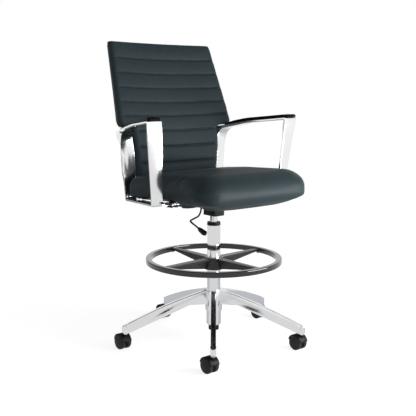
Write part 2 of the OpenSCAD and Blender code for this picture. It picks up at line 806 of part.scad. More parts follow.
// ---------------------------------------------------------------- arms, in the seat frame
post_front_y = -50;
post_rear_y = 232;
foot_y = post_front_y;
foot_w = 44;
foot_top = -gap;
foot_bottom_z = -arm_t + 1;
bracket_t = 8;
bracket_out = seat_w / 2 - 10;
bracket_bolt_x = plate_half + 26;
arm_bolt_x = [seat_w / 2 - 48, seat_w / 2 - 24];
rail_drop = 28;                      // fall of the rail from front to rear
knuckle_y = post_rear_y + 38;

// Closed outlines of the loop: [y, z, radius, arc points], stations of both are paired one to one
arm_outer = [
    [post_front_y - arm_t / 2, -arm_t, 8, 6], [post_rear_y + arm_t / 2, -arm_t, 8, 6],
    [post_rear_y - 10, 196, 20, 6], [knuckle_y, rail_front_h - rail_drop - 20, 5, 6],
    [knuckle_y, rail_front_h - rail_drop, 4, 6], [80, rail_front_h - 6, 300, 8],
    [post_front_y - 46, rail_front_h, 5, 6]
];
arm_inner = [
    [post_front_y + arm_t / 2, -1, 6, 6], [post_rear_y - arm_t / 2, -1, 6, 6],
    [post_rear_y - arm_t - 10, rail_front_h - rail_drop - 6, 42, 18], [80, rail_front_h - 6 - arm_t, 300, 8],
    [post_front_y - 46 + arm_t, rail_front_h - arm_t, 5, 6]
];

arm_out_front_top = seat_w / 2 + arm_past_front_top;
arm_out_front_low = seat_w / 2 + arm_past_front_low;
arm_out_rear_top = seat_w / 2 + arm_past_rear_top;
arm_out_rear_low = seat_w / 2 - arm_in_rear_low;

function arm_t_y(y) = (post_rear_y - y) / (post_rear_y - post_front_y);
function arm_out_x(y, z) =
    lerp(lerp(arm_out_rear_low, arm_out_rear_top, z / rail_front_h),
         lerp(arm_out_front_low, arm_out_front_top, z / rail_front_h), arm_t_y(y) * 0.88);
function arm_in_x(y, z) =
    let (front = lerp(arm_w_front_low, arm_w_front_top, z / rail_front_h))
    arm_out_x(y, z) - lerp(arm_w_rear, front, arm_t_y(y) * 0.88);

function waist_at(z) = arm_in_x(post_rear_y + arm_t / 2 + 4, z) - waist_gap;
waist_half = waist_at(back_bottom);

module arm_loop() {
    outer = rounded(arm_outer);
    inner = rounded(arm_inner);
    m = len(outer);
    points = [for (i = [0:m - 1]) each [
        [arm_out_x(outer[i][0], outer[i][1]), outer[i][0], outer[i][1]],
        [arm_in_x(outer[i][0], outer[i][1]), outer[i][0], outer[i][1]],
        [arm_in_x(inner[i][0], inner[i][1]), inner[i][0], inner[i][1]],
        [arm_out_x(inner[i][0], inner[i][1]), inner[i][0], inner[i][1]]
    ]];
    faces = [for (i = [0:m - 1]) for (j = [0:3]) each
        let (n = (i + 1) % m, q = (j + 1) % 4)
        [[i * 4 + j, n * 4 + q, i * 4 + q], [i * 4 + j, n * 4 + j, n * 4 + q]]];
    polyhedron(points, faces, convexity = 8);
}

// The front post sweeps inwards at its lower end into a foot that lies on the bracket
module arm_frame(side) {
    post_in = arm_in_x(post_front_y, 0);
    sweep_r = 24;
    foot_end = arm_bolt_x[0] - 12;
    color("silver") in_seat() mirror([side < 0 ? 1 : 0, 0, 0]) difference() {
        union() {
            arm_loop();
            translate([foot_end, foot_y - foot_w / 2, foot_bottom_z])
                cube([post_in + 14 - foot_end, foot_w, foot_top - foot_bottom_z]);
            translate([0, post_front_y + arm_t / 2 - 1, 0]) rotate([90, 0, 0])
                linear_extrude(height = arm_t - 2) polygon(concat(
                    fillet(
                        [foot_end, foot_top - 1], [post_in + 5, foot_top - 1], [post_in + 11, 80], sweep_r, 9
                    ),
                    [[post_in + 16, 60], [post_in + 12, foot_top - 1]]
                ));
        }
        for (x = arm_bolt_x) translate([x, foot_y, -far / 2]) cylinder(h = far, r = bolt_r + fit);
    }
}

module arm_bracket(side) {
    inner = plate_half + 8;
    step_x = arm_bolt_x[0] - 22;
    color("#1c1c1e") in_seat() mirror([side < 0 ? 1 : 0, 0, 0]) difference() {
        translate([0, foot_y, 0]) rotate([90, 0, 0])
            linear_extrude(height = foot_w - 6, center = true) polygon([
                [inner, -gap / 3], [step_x - 12, -gap / 3], [step_x, foot_bottom_z - gap / 3],
                [bracket_out, foot_bottom_z - gap / 3], [bracket_out, foot_bottom_z - bracket_t],
                [step_x - 4, foot_bottom_z - bracket_t], [step_x - 16, -bracket_t], [inner, -bracket_t]
            ]);
        for (x = arm_bolt_x) translate([x, foot_y, -far / 2]) cylinder(h = far, r = bolt_r + fit);
        for (x = [bracket_bolt_x, bracket_bolt_x + 26])
            translate([x, foot_y, -far / 2]) cylinder(h = far, r = bolt_r + fit);
    }
}

module arm_bolts() {
    low = foot_bottom_z - bracket_t;
    color("dimgray") in_seat() for (s = [-1, 1]) {
        for (x = arm_bolt_x) translate([s * x, foot_y, 0]) {
            translate([0, 0, low - 3.7]) cylinder(h = 3.5, r = 6, $fn = 6);
            translate([0, 0, low - 0.3]) cylinder(h = foot_top - low - 0.2, r = bolt_r);
        }
        for (x = [bracket_bolt_x, bracket_bolt_x + 26]) translate([s * x, foot_y, 0]) {
            translate([0, 0, -bracket_t - 3.7]) cylinder(h = 3.5, r = 6, $fn = 6);
            translate([0, 0, -bracket_t - 0.3]) cylinder(h = bracket_t + bolt_grip, r = bolt_r);
        }
    }
}

// Pad that lies on the rail: blunt rounded front, its rear thinning to a point at the outer side
pad_ahead = 4;                       // overhang of the pad past the rail's front
pad_l = 322;
pad_thins_at = 190;
pad_inset = 3;
pad_blunt = [[0, 0.62, 0.4], [1.5, 0.8, 0.66], [4, 0.92, 0.86], [8, 0.98, 0.97]];
pad_rows = concat(pad_blunt, [for (d = [14:14:pad_l]) [d, 1, 1]]);
rail_curve = [for (p = rounded(arm_outer)) if (p[1] > rail_front_h - rail_drop - 3) [p[0], p[1]]];
function rail_z(y) = lookup(min(max(y, post_front_y - 38), knuckle_y - 5), rail_curve) + gap + 0.1;

function pad_section(row) =
    let (
        y = post_front_y - 46 - pad_ahead + row[0], z = rail_z(y),
        late = max(0, (row[0] - pad_thins_at) / (pad_l - pad_thins_at)),
        h = pad_t * row[2] * (1 - 0.86 * pow(late, 0.8)), round = min(4, h * 0.4),
        xo = arm_out_x(y, z) - pad_inset, xi = lerp(arm_in_x(y, z) + pad_inset, xo - 5, pow(late, 1.3)),
        mid = (xo + xi) / 2, half = (xo - xi) / 2 * row[1],
        side = [
            [half - 1.5, 0], [half, h * 0.35], [half - round * 0.3, h - round * 0.7], [half - round, h - 0.4]
        ]
    )
    concat(
        [for (q = side) [mid + q[0], y, z + q[1]]], [[mid, y, z + h]],
        [for (i = [3:-1:0]) [mid - side[i][0], y, z + side[i][1]]]
    );

module arm_pad(side) {
    points = [for (row = pad_rows) each pad_section(row)];
    color("#141416") in_seat() mirror([side < 0 ? 1 : 0, 0, 0]) tube(points, len(pad_rows), 9);
}

base_casting();
column_tube();
column_bush();
column_foot();
thrust_bearing();
castor_stem(1);  // castor_stem_1
castor_stem(2);  // castor_stem_2
castor_stem(3);  // castor_stem_3
castor_stem(4);  // castor_stem_4
castor_stem(5);  // castor_stem_5
castor_hood(1);  // castor_hood_1
castor_hood(2);  // castor_hood_2
castor_hood(3);  // castor_hood_3
castor_hood(4);  // castor_hood_4
castor_hood(5);  // castor_hood_5
castor_axle(1);  // castor_axle_1
castor_axle(2);  // castor_axle_2
castor_axle(3);  // castor_axle_3
castor_axle(4);  // castor_axle_4
castor_axle(5);  // castor_axle_5
wheel_at(1, -1);  // wheel_left_1
wheel_at(2, -1);  // wheel_left_2
wheel_at(3, -1);  // wheel_left_3
wheel_at(4, -1);  // wheel_left_4
wheel_at(5, -1);  // wheel_left_5
wheel_at(1, 1);  // wheel_right_1
wheel_at(2, 1);  // wheel_right_2
wheel_at(3, 1);  // wheel_right_3
wheel_at(4, 1);  // wheel_right_4
wheel_at(5, 1);  // wheel_right_5
piston_rod();
rod_clip();
gas_cylinder();
release_button();
footring_rim();
footring_spider();
footring_bolts();
mechanism_housing();
tilt_pin();
tilt_springs();
lever_pin();
height_lever();
lever_paddle();
seat_plate();
seat_pan();
seat_cushion();
seat_bolts();
back_bar();
back_shell();
back_cushion();
back_bolts();
arm_bracket(-1);  // arm_bracket_left
arm_bracket(1);  // arm_bracket_right
arm_frame(-1);  // arm_frame_left
arm_frame(1);  // arm_frame_right
arm_pad(-1);  // arm_pad_left
arm_pad(1);  // arm_pad_right
arm_bolts();
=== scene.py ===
"""Looks of the drafting chair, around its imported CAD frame. Metres; floor at 0, the sitter faces -Y."""

import json
import math

import bmesh
import bpy
import numpy as np
from mathutils import Matrix, Vector

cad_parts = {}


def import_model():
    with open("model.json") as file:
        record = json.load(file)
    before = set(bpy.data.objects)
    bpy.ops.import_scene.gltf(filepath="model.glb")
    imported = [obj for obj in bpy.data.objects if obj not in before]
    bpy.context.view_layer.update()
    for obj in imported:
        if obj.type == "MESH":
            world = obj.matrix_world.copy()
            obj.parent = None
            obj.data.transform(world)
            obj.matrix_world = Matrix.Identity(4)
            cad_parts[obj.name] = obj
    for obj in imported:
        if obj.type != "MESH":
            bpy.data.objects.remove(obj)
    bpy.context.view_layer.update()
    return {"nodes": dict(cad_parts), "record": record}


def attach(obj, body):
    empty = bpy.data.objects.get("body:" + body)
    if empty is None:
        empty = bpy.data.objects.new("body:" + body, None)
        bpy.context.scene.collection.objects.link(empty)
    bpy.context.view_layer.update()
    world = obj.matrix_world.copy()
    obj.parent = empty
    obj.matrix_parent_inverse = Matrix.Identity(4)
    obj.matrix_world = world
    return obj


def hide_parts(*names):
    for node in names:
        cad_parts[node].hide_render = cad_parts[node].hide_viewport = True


MM = 0.001
SIDES = {"left": -1, "right": 1}

# ---------------------------------------------------------------- the sloping seat frame
SEAT_Z = 0.558  # height of its origin
SEAT_PITCH = math.radians(3.5)
SEAT = Matrix.Translation((0, 0, SEAT_Z)) @ Matrix.Rotation(-SEAT_PITCH, 4, "X")
SEAT_INV = SEAT.inverted()


def transformed(points, matrix):
    m = np.array(matrix)
    return points @ m[:3, :3].T + m[:3, 3]


# ---------------------------------------------------------------- node materials
WHITE = (1.0, 1.0, 1.0)


def new_material(name):
    mat = bpy.data.materials.new(name)
    mat.use_nodes = True
    tree = mat.node_tree
    return mat, tree, tree.nodes["Principled BSDF"]


def node(tree, kind, **settings):
    """A new node; each setting is the value of an input or, where no input has its name, a property."""
    made = tree.nodes.new(kind)
    for key, value in settings.items():
        if key in made.inputs:
            made.inputs[key].default_value = value
        else:
            setattr(made, key, value)
    return made


def coords(tree, stretch=(1, 1, 1)):
    """Object coordinates, stretched per axis."""
    source = node(tree, "ShaderNodeTexCoord")
    mapping = node(tree, "ShaderNodeMapping")
    mapping.inputs["Scale"].default_value = stretch
    tree.links.new(source.outputs["Object"], mapping.inputs["Vector"])
    return mapping.outputs["Vector"]


def noise_at(tree, vector, scale, detail=3.0, rough=0.5):
    """Noise between 0 and 1."""
    tex = node(tree, "ShaderNodeTexNoise", Scale=scale, Detail=detail, Roughness=rough)
    tree.links.new(vector, tex.inputs["Vector"])
    return tex.outputs["Fac"]


def cell_edges_at(tree, vector, scale):
    """Distance to the nearest edge of a pattern of cells."""
    tex = node(tree, "ShaderNodeTexVoronoi", Scale=scale, feature="DISTANCE_TO_EDGE")
    tree.links.new(vector, tex.inputs["Vector"])
    return tex.outputs["Distance"]


def ramp(tree, value, low, high):
    """value, which lies between 0 and 1, brought between low and high."""
    made = node(tree, "ShaderNodeMapRange")
    made.inputs["To Min"].default_value = low
    made.inputs["To Max"].default_value = high
    tree.links.new(value, made.inputs["Value"])
    return made.outputs["Result"]


def blended(tree, share, a, b):
    """a where share is 0, b where it is 1; each is a colour or a socket."""
    made = node(tree, "ShaderNodeMix", data_type="RGBA")
    for name, value in (("A", a), ("B", b)):
        if isinstance(value, tuple):
            made.inputs[name].default_value = (*value, 1)
        else:
            tree.links.new(value, made.inputs[name])
    tree.links.new(share, made.inputs["Factor"])
    return made.outputs["Result"]


def bump(tree, shader, height, strength, distance, below=None):
    """Relief on a shader, on top of the relief below it; returns the whole relief."""
    made = node(tree, "ShaderNodeBump", Strength=strength, Distance=distance)
    tree.links.new(height, made.inputs["Height"])
    if below is not None:
        tree.links.new(below, made.inputs["Normal"])
    tree.links.new(made.outputs["Normal"], shader.inputs["Normal"])
    return made.outputs["Normal"]


def scaled(color, k):
    return tuple(c * k for c in color)


def metal(name, color, rough, grain=(1, 1, 1), wear=0.06, waviness=0.00004):
    """Polished or brushed metal: uneven polish, faint casting waves and fine scratches along the grain."""
    mat, tree, shader = new_material(name)
    shader.inputs["Metallic"].default_value = 1.0
    broad = noise_at(tree, coords(tree), scale=14, detail=2)
    fine = noise_at(tree, coords(tree, grain), scale=900, detail=4, rough=0.6)
    tree.links.new(blended(tree, broad, scaled(color, 0.97), color), shader.inputs["Base Color"])
    tree.links.new(ramp(tree, fine, rough, rough + wear), shader.inputs["Roughness"])
    waves = bump(tree, shader, broad, strength=0.4, distance=waviness)
    bump(tree, shader, fine, strength=0.08, distance=0.00003, below=waves)
    return mat


def coated(name, color, rough, pits=420, depth=0.00012, spread=0.12, ior=1.25, coat=0.0):
    """Paint, moulded plastic or rubber: fine grain with slight changes of colour and gloss."""
    mat, tree, shader = new_material(name)
    shader.inputs["IOR"].default_value = ior
    shader.inputs["Coat Weight"].default_value = coat
    shader.inputs["Coat Roughness"].default_value = 0.06
    vector = coords(tree)
    broad = noise_at(tree, vector, scale=22)
    grain = noise_at(tree, vector, scale=pits, rough=0.65)
    tree.links.new(blended(tree, broad, scaled(color, 0.8), scaled(color, 1.15)), shader.inputs["Base Color"])
    tree.links.new(ramp(tree, grain, rough - spread / 2, rough + spread), shader.inputs["Roughness"])
    bump(tree, shader, grain, strength=0.5, distance=depth)
    return mat


def wood(name, dark, light):
    """Wood with its grain along X."""
    mat, tree, shader = new_material(name)
    streaks = noise_at(tree, coords(tree, (6, 90, 90)), scale=3, detail=5, rough=0.6)
    tree.links.new(blended(tree, streaks, dark, light), shader.inputs["Base Color"])
    tree.links.new(ramp(tree, streaks, 0.5, 0.65), shader.inputs["Roughness"])
    bump(tree, shader, streaks, strength=0.3, distance=0.0002)
    return mat


def leather(name, color, rough):
    """Coated leather: pebble grain, soft creases, and painted shade in the sewn seams (attribute "seam")."""
    mat, tree, shader = new_material(name)
    vector = coords(tree)
    shader.inputs["IOR"].default_value = 1.22
    shader.inputs["Sheen Weight"].default_value = 0.03
    shader.inputs["Sheen Roughness"].default_value = 0.5
    pebble = cell_edges_at(tree, vector, scale=620)
    cloudy = noise_at(tree, vector, scale=9, detail=4, rough=0.55)
    creases = noise_at(tree, coords(tree, (1, 1, 2.2)), scale=55, detail=4, rough=0.6)
    surface = blended(tree, cloudy, scaled(color, 0.86), scaled(color, 1.14))
    # painted shade: the leather is darkened where the attribute marks a seam groove
    seam = node(tree, "ShaderNodeAttribute", attribute_name="seam")
    sewn = blended(tree, seam.outputs["Fac"], surface, scaled(color, 0.4))
    tree.links.new(sewn, shader.inputs["Base Color"])
    tree.links.new(ramp(tree, creases, rough - 0.05, rough + 0.08), shader.inputs["Roughness"])
    folds = bump(tree, shader, creases, strength=0.25, distance=0.0006)
    bump(tree, shader, pebble, strength=0.35, distance=0.00035, below=folds)
    return mat


BLACK = (0.004, 0.004, 0.0042)
MATERIALS = [
    metal("polished_aluminium", (0.86, 0.865, 0.87), 0.1, waviness=0.0001),
    metal("chromed_steel", (0.82, 0.825, 0.83), 0.04, wear=0.03),
    metal("steel", (0.55, 0.555, 0.56), 0.28, grain=(1, 1, 12)),
    coated("black_steel", BLACK, 0.42, pits=260, depth=0.00008),
    coated(
        "ring_paint", (0.006, 0.006, 0.0062), 0.1, pits=300, depth=0.00002, spread=0.04, ior=1.4, coat=0.6
    ),
    coated("spider_paint", (0.013, 0.0125, 0.012), 0.24, pits=300, depth=0.00004, ior=1.45),
    coated("black_plastic", BLACK, 0.42, pits=700),
    coated("wheel_plastic", (0.021, 0.021, 0.0225), 0.48, pits=500),
    coated("pad_rubber", (0.0025, 0.0025, 0.0027), 0.4, pits=800, depth=0.0001, ior=1.16),
    wood("plywood", (0.03, 0.022, 0.017), (0.08, 0.058, 0.043)),
    leather("slate_leather", (0.0150, 0.0255, 0.0300), 0.46),
]
BY_SLOT = {mat.name: mat for mat in MATERIALS}

# ---------------------------------------------------------------- mesh helpers
WELD = 0.00001  # points closer than this are one
FLAT = math.radians(0.8)  # faces that turn by less are one


def linked(name, data):
    obj = bpy.data.objects.new(name, data)
    bpy.context.scene.collection.objects.link(obj)
    return obj


def apply_modifiers(obj):
    """The object's evaluated mesh becomes its mesh."""
    shown = obj.evaluated_get(bpy.context.evaluated_depsgraph_get())
    mesh = bpy.data.meshes.new_from_object(shown)
    obj.modifiers.clear()
    old = obj.data
    obj.data = mesh
    bpy.data.meshes.remove(old)
    return obj


def positions(obj):
    co = np.empty(len(obj.data.vertices) * 3)
    obj.data.vertices.foreach_get("co", co)
    return co.reshape(-1, 3)


def normals(obj):
    out = np.empty(len(obj.data.vertices) * 3, np.float32)
    obj.data.vertices.foreach_get("normal", out)
    return out.reshape(-1, 3).astype(float)


def place(obj, points):
    obj.data.vertices.foreach_set("co", points.ravel())
    obj.data.update()


def in_seat(obj):
    """The x, y and z of a mesh's points in the seat frame."""
    return transformed(positions(obj), SEAT_INV).T


def place_in_seat(obj, x, y, z):
    place(obj, transformed(np.stack([x, y, z], axis=1), SEAT))


def smooth_shaded(obj):
    obj.data.polygons.foreach_set("use_smooth", [True] * len(obj.data.polygons))


def finished(obj, slot_name, body, *cad_nodes):
    """Material, slot, body and the CAD nodes that a new piece stands for."""
    obj.data.materials.clear()
    obj.data.materials.append(BY_SLOT[slot_name])
    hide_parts(*cad_nodes)
    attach(obj, body)


def cad_copy(cad_node, name):
    """A new object with the CAD node's mesh, its flat faces made whole again."""
    mesh = frame["nodes"][cad_node].data.copy()
    work = bmesh.new()
    work.from_mesh(mesh)
    bmesh.ops.remove_doubles(work, verts=work.verts, dist=WELD)
    bmesh.ops.dissolve_limit(work, angle_limit=FLAT, verts=work.verts, edges=work.edges)
    work.to_mesh(mesh)
    work.free()
    return linked(name, mesh)


def bevelled(obj, radius, segments, degrees):
    """Rounds the edges at which a mesh turns by more than an angle."""
    edge = obj.modifiers.new("edge", "BEVEL")
    edge.width = radius
    edge.segments = segments
    edge.limit_method = "ANGLE"
    edge.angle_limit = math.radians(degrees)
    edge.harden_normals = True
    smooth_shaded(obj)
    apply_modifiers(obj)


# ---------------------------------------------------------------- upholstery, in metres of the seat frame
SEAT_VOXEL, SEAT_ROUNDING = 0.006, 18
BACK_VOXEL, BACK_ROUNDING = 0.005, 5
# the seat's front corners: where each change starts and the length over which it grows
CORNER_SIDE, CORNER_FRONT, CORNER_LEVEL = (0.15, 0.10), (0.13, 0.13), (0.03, 0.06)
CORNER_DROP, CORNER_RISE = 0.032, 0.02  # above the level the corners drop, and below it they rise
MOST_RISE = 0.6
CORNER_PULL, PULL_FULL = 0.011, 0.45  # the corners are pulled in, wholly from this share of a corner on
PULL_LEVEL, PULL_MOST, PULL_POWER = (0.028, 0.04), 1.4, 1.3  # and more the higher a point lies
# heights of the back's sewn seams
SEAMS = (0.527, 0.4706, 0.415, 0.36, 0.3076, 0.2505, 0.1895, 0.127, 0.068)
NO_SEAM = 1.0  # further than any seam
SEAM_HALF = 0.0036
SEAM_DEPTH = 0.0026
SEAM_SAG = 0.006  # the seams hang this much lower in the middle
# strength of the painted shade in the seams
SEAM_SHADE = 0.6
CHANNEL_CROWN = 0.0035  # the channels stand this much above the seams' edges
CHANNEL_SLICE, ROUND_SLICE = 0.004, 0.008  # heights of the slices in which the back is measured
EDGE_PLAIN, EDGE_FADE = 0.005, 0.026  # the back's sides are plain this far in, then the channels fade in
FRONT_GAIN, FRONT_CUT = 2.5, 1.2  # how far a face has to look forwards to be channelled
# how far the back's front edges are rounded: sideways and in depth, at the sides and at the top
SIDE_ROUND = (0.020, 0.017)
TOP_ROUND = (0.010, 0.008)
BACK_THICK = 0.032
WRAP_AXIS_Y = 0.206 - 1.4  # the upright axis that the back wraps round
# the waist between the arm posts, which is filled sideways and, at its rear, backwards
WAIST_SIDE = (0.165, 0.02)
WAIST_TOP, WAIST_TOP_FADE = 0.25, 0.01
WAIST_REAR = (0.4, 0.5)  # in shares of the back's thickness
WAIST_FILL, WAIST_BACK = 0.0022, 0.005
# the cloth simulation
SEAT_PUFF, BACK_PUFF = 0.007, 0.004  # no point moves further
PRESSURE = 4
CLOTH_FRAMES, CLOTH_QUALITY, CLOTH_MASS = 20, 5, 0.3
STRETCHING, SHEARING, BENDING = 18, 8, 2.5
LEAST_PIN = 0.02  # smaller shares aren't pinned
SEAM_HOLD, SEAM_GRIP = 1.4, 0.004  # the seams are held up to this many grips away from them
PLAIN_HOLD = 4  # faces without channels are held too; the higher, the sooner the hold ends


def grown(value, start, length, least=0, most=1):
    """0 at start and 1 a length further on."""
    return np.clip((value - start) / length, least, most)


def inflate(obj, cap, pinned=None):
    """Blows a closed mesh up as cloth, no point further than cap; pinned is how far each point is held."""
    rest = positions(obj)
    cloth = obj.modifiers.new("cloth", "CLOTH")
    made = cloth.settings
    made.quality = CLOTH_QUALITY
    made.mass = CLOTH_MASS
    made.tension_stiffness = made.compression_stiffness = STRETCHING
    made.shear_stiffness = SHEARING
    made.bending_stiffness = BENDING
    made.use_pressure = True
    made.uniform_pressure_force = PRESSURE
    made.effector_weights.gravity = 0
    cloth.collision_settings.use_collision = False
    if pinned is not None:
        group = obj.vertex_groups.new(name="pin")
        for i in np.flatnonzero(pinned > LEAST_PIN):
            group.add([int(i)], float(min(1, pinned[i])), "REPLACE")
        made.vertex_group_mass = "pin"
    scene = bpy.context.scene
    cloth.point_cache.frame_start, cloth.point_cache.frame_end = 1, CLOTH_FRAMES
    for f in range(1, CLOTH_FRAMES + 1):
        scene.frame_set(f)
    shown = obj.evaluated_get(bpy.context.evaluated_depsgraph_get())
    moved = np.empty(len(shown.data.vertices) * 3)
    shown.data.vertices.foreach_get("co", moved)
    step = moved.reshape(-1, 3) - rest
    length = np.linalg.norm(step, axis=1, keepdims=True)
    step *= np.minimum(1, cap / np.maximum(length, 1e-9))
    obj.modifiers.clear()
    obj.vertex_groups.clear()
    scene.frame_set(1)
    place(obj, rest + step)


def remeshed(cad_node, name, voxel, rounding):
    """Soft form of a CAD solid: even mesh with its edges rounded by smoothing."""
    obj = linked(name, frame["nodes"][cad_node].data.copy())
    grid = obj.modifiers.new("voxels", "REMESH")
    grid.mode = "VOXEL"
    grid.voxel_size = voxel
    even = obj.modifiers.new("even", "SMOOTH")
    even.factor = 0.5
    even.iterations = rounding
    return apply_modifiers(obj)


def subdivided(obj):
    """Cuts each face of a mesh into smaller, smoother ones."""
    finer = obj.modifiers.new("finer", "SUBSURF")
    finer.levels = finer.render_levels = 1
    apply_modifiers(obj)


def set_painted_seam_shade(obj, share):
    """Writes how far each point lies in a sewn seam, which the leather paints as shade."""
    layer = obj.data.attributes.new("seam", "FLOAT", "POINT")
    layer.data.foreach_set("value", share.astype(np.float32))


def dropped_corners(obj):
    """The seat's front corners slope down and in, as the cover is pulled round them."""
    x, y, z = in_seat(obj)
    corner = (grown(np.abs(x), *CORNER_SIDE) * grown(-y, *CORNER_FRONT)) ** 2
    above = grown(z, *CORNER_LEVEL, least=-MOST_RISE)
    z = z - corner * np.where(above > 0, CORNER_DROP, CORNER_RISE) * above
    high = grown(z, *PULL_LEVEL, most=PULL_MOST) ** PULL_POWER
    pull = CORNER_PULL * grown(corner, 0, PULL_FULL) * high
    place_in_seat(obj, x - np.sign(x) * pull, y + pull, z)


def seat_cushion():
    obj = remeshed("seat_cushion", "seat_upholstery", SEAT_VOXEL, SEAT_ROUNDING)
    dropped_corners(obj)
    inflate(obj, SEAT_PUFF)
    subdivided(obj)
    set_painted_seam_shade(obj, np.zeros(len(obj.data.vertices)))
    smooth_shaded(obj)
    finished(obj, "slate_leather", "tilt", "seat_cushion")


def sliced(x, z, height):
    """Each point's slice of a height, and how far each slice reaches sideways."""
    number = np.clip((z / height).astype(int), 0, None)
    reach = np.zeros(number.max() + 1)
    np.maximum.at(reach, number, np.abs(x))
    return number, reach


def channels(obj):
    """Per point of the back: how channelled it is, distance to the nearest seam, place between two seams."""
    x, _, z = in_seat(obj)
    number, reach = sliced(x, z, CHANNEL_SLICE)
    to_side = grown(reach[number] - np.abs(x), EDGE_PLAIN, EDGE_FADE)
    forwards = np.clip(-normals(obj)[:, 1] * FRONT_GAIN - FRONT_CUT, 0, 1)
    front = forwards * to_side * to_side * (3 - 2 * to_side)
    height = z + SEAM_SAG * (0.5 - (x / reach.max()) ** 2)
    lines = np.array([height.max(), *SEAMS, height.min()])
    last = len(lines) - 1
    below = np.clip(np.searchsorted(-lines, -height), 1, last)
    upper, lower = lines[below - 1], lines[below]
    phase = np.clip((upper - height) / (upper - lower), 0, 1)
    to_upper = np.where(below == 1, NO_SEAM, upper - height)
    to_lower = np.where(below == last, NO_SEAM, height - lower)
    return front, np.minimum(np.abs(to_upper), np.abs(to_lower)), phase


def rounded_edges(obj):
    """The back's front edges turn backwards in a quarter ellipse towards its sides and its top."""
    x, y, z = in_seat(obj)
    radius = np.hypot(x, y - WRAP_AXIS_Y)
    number, reach = sliced(x, z, ROUND_SLICE)
    front_r = np.full(len(reach), np.inf)
    np.minimum.at(front_r, number, radius)
    known = np.isfinite(front_r)
    at = (np.flatnonzero(known) + 0.5) * ROUND_SLICE
    depth = np.clip((radius - np.interp(z, at, front_r[known])) / BACK_THICK, 0, 1)
    side = np.clip(1 - (np.interp(z, at, reach[known]) - np.abs(x)) / SIDE_ROUND[0], 0, 1)
    top = np.clip(1 - (z.max() - z) / TOP_ROUND[0], 0, 1)
    back = SIDE_ROUND[1] * (1 - np.sqrt(1 - side * side)) + TOP_ROUND[1] * (1 - np.sqrt(1 - top * top))
    shift = back * (1 - depth)
    place_in_seat(obj, x + x / radius * shift, y + (y - WRAP_AXIS_Y) / radius * shift, z)


def filled_waist(obj):
    """Between the arm posts the cover fills the room that remeshing took away."""
    x, y, z = in_seat(obj)
    side = grown(np.abs(x), *WAIST_SIDE) * np.clip((WAIST_TOP - z) / WAIST_TOP_FADE, 0, 1)
    radius = np.hypot(x, y - WRAP_AXIS_Y)
    rear = grown((radius - radius.min()) / BACK_THICK, *WAIST_REAR)
    place_in_seat(obj, x + np.sign(x) * side * WAIST_FILL, y + side * rear * WAIST_BACK, z)


def back_cushion():
    obj = remeshed("back_cushion", "back_upholstery", BACK_VOXEL, BACK_ROUNDING)
    rounded_edges(obj)
    filled_waist(obj)
    front, near_seam, _ = channels(obj)
    sewn = np.clip(SEAM_HOLD - near_seam / SEAM_GRIP, 0, 1) * front
    inflate(obj, BACK_PUFF, np.maximum(sewn, np.clip(1 - front * PLAIN_HOLD, 0, 1)))
    subdivided(obj)
    points = positions(obj)
    outward = normals(obj)
    front, near_seam, phase = channels(obj)
    sewn = np.exp(-((near_seam / SEAM_HALF) ** 2)) * front
    crown = np.sqrt(np.clip(np.sin(np.pi * phase), 0, 1)) * front
    points += outward * (CHANNEL_CROWN * (crown - front) - SEAM_DEPTH * sewn)[:, None]
    place(obj, points)
    # painted shade in the seam grooves, on top of their real depth
    set_painted_seam_shade(obj, sewn * SEAM_SHADE)
    smooth_shaded(obj)
    finished(obj, "slate_leather", "tilt", "back_cushion")


# ---------------------------------------------------------------- arms, in millimetres of the seat frame
SEAT_HALF = 253  # half the seat's width
POST_FRONT_Y, POST_REAR_Y, KNUCKLE_Y = -50, 232, 270  # the two posts and the rail's rear end
RAIL_H, RAIL_REAR_H = 280, 252  # top of the rail, at its nose and at its rear end
NOSE_REACH = 0.88  # the front post stands at this share of the way from the rear post to the rail's nose
OUT_REAR, OUT_FRONT = (-15, 2), (73, 95)  # past the seat's side, at the bottom and at the top
WIDTH_REAR, WIDTH_FRONT = (49, 49), (43, 60)  # of the band, at the bottom and at the top
# corners of the band's outline seen from the side: y, z, radius, points of the rounding
BAND_OUTER = [
    (POST_FRONT_Y - 5, -10, 8, 6),
    (POST_REAR_Y + 5, -10, 8, 6),
    (POST_REAR_Y - 10, 196, 20, 6),
    (KNUCKLE_Y, RAIL_REAR_H - 20, 5, 6),
    (KNUCKLE_Y, RAIL_REAR_H, 4, 6),
    (80, RAIL_H - 6, 300, 8),
    (POST_FRONT_Y - 46, RAIL_H, 5, 6),
]
BAND_INNER = [
    (POST_FRONT_Y + 5, -1, 6, 6),
    (POST_REAR_Y - 5, -1, 6, 6),
    (POST_REAR_Y - 20, RAIL_REAR_H - 6, 42, 18),
    (80, RAIL_H - 16, 300, 8),
    (POST_FRONT_Y - 36, RAIL_H - 10, 5, 6),
]
STATION_GAP = 24  # longest step between two stations along the band
FACE_POINTS = 15  # across each face of the band
BAND_EDGE, EDGE_TURNS = 1.2, (60, 30, 0)  # radius of the band's long edges, and their points in degrees
BAND_CROWN = {"outer": 0.6, "inner": 1.5}  # the middle of a face stands this much above its edges
FLUTES = {"outer": (), "inner": (0.32, 0.68)}  # shares of the width
FLUTE_DEPTH, FLUTE_HALF = 0.7, 0.09
POST_LOW, POST_HIGH = 5, RAIL_REAR_H - 12  # between these heights the band is a post
SIDE_HOLD = 0.6  # keeps the posts' sides flat between their rounded edges
SIDE_MIDDLE = 0.45  # elsewhere the sides are held at this share of the thickness
# the posts' faces slant, their outer side further back; the slant comes and goes between these places
SLANT_FRONT, SLANT_REAR = math.radians(8), math.radians(17)
FRONT_GONE_Z, FRONT_GONE_Y = (185, 255), (-30, 40)
REAR_COMES_Z, REAR_GONE_Z, REAR_COMES_Y = (60, 100), (170, 225), (140, 190)
FOOT_END, FOOT_ROOT = 193, 13  # the foot's inner end, and its other end past the post's inner side
FOOT_W, FOOT_LOW, FOOT_TOP = 44, -9, -0.4
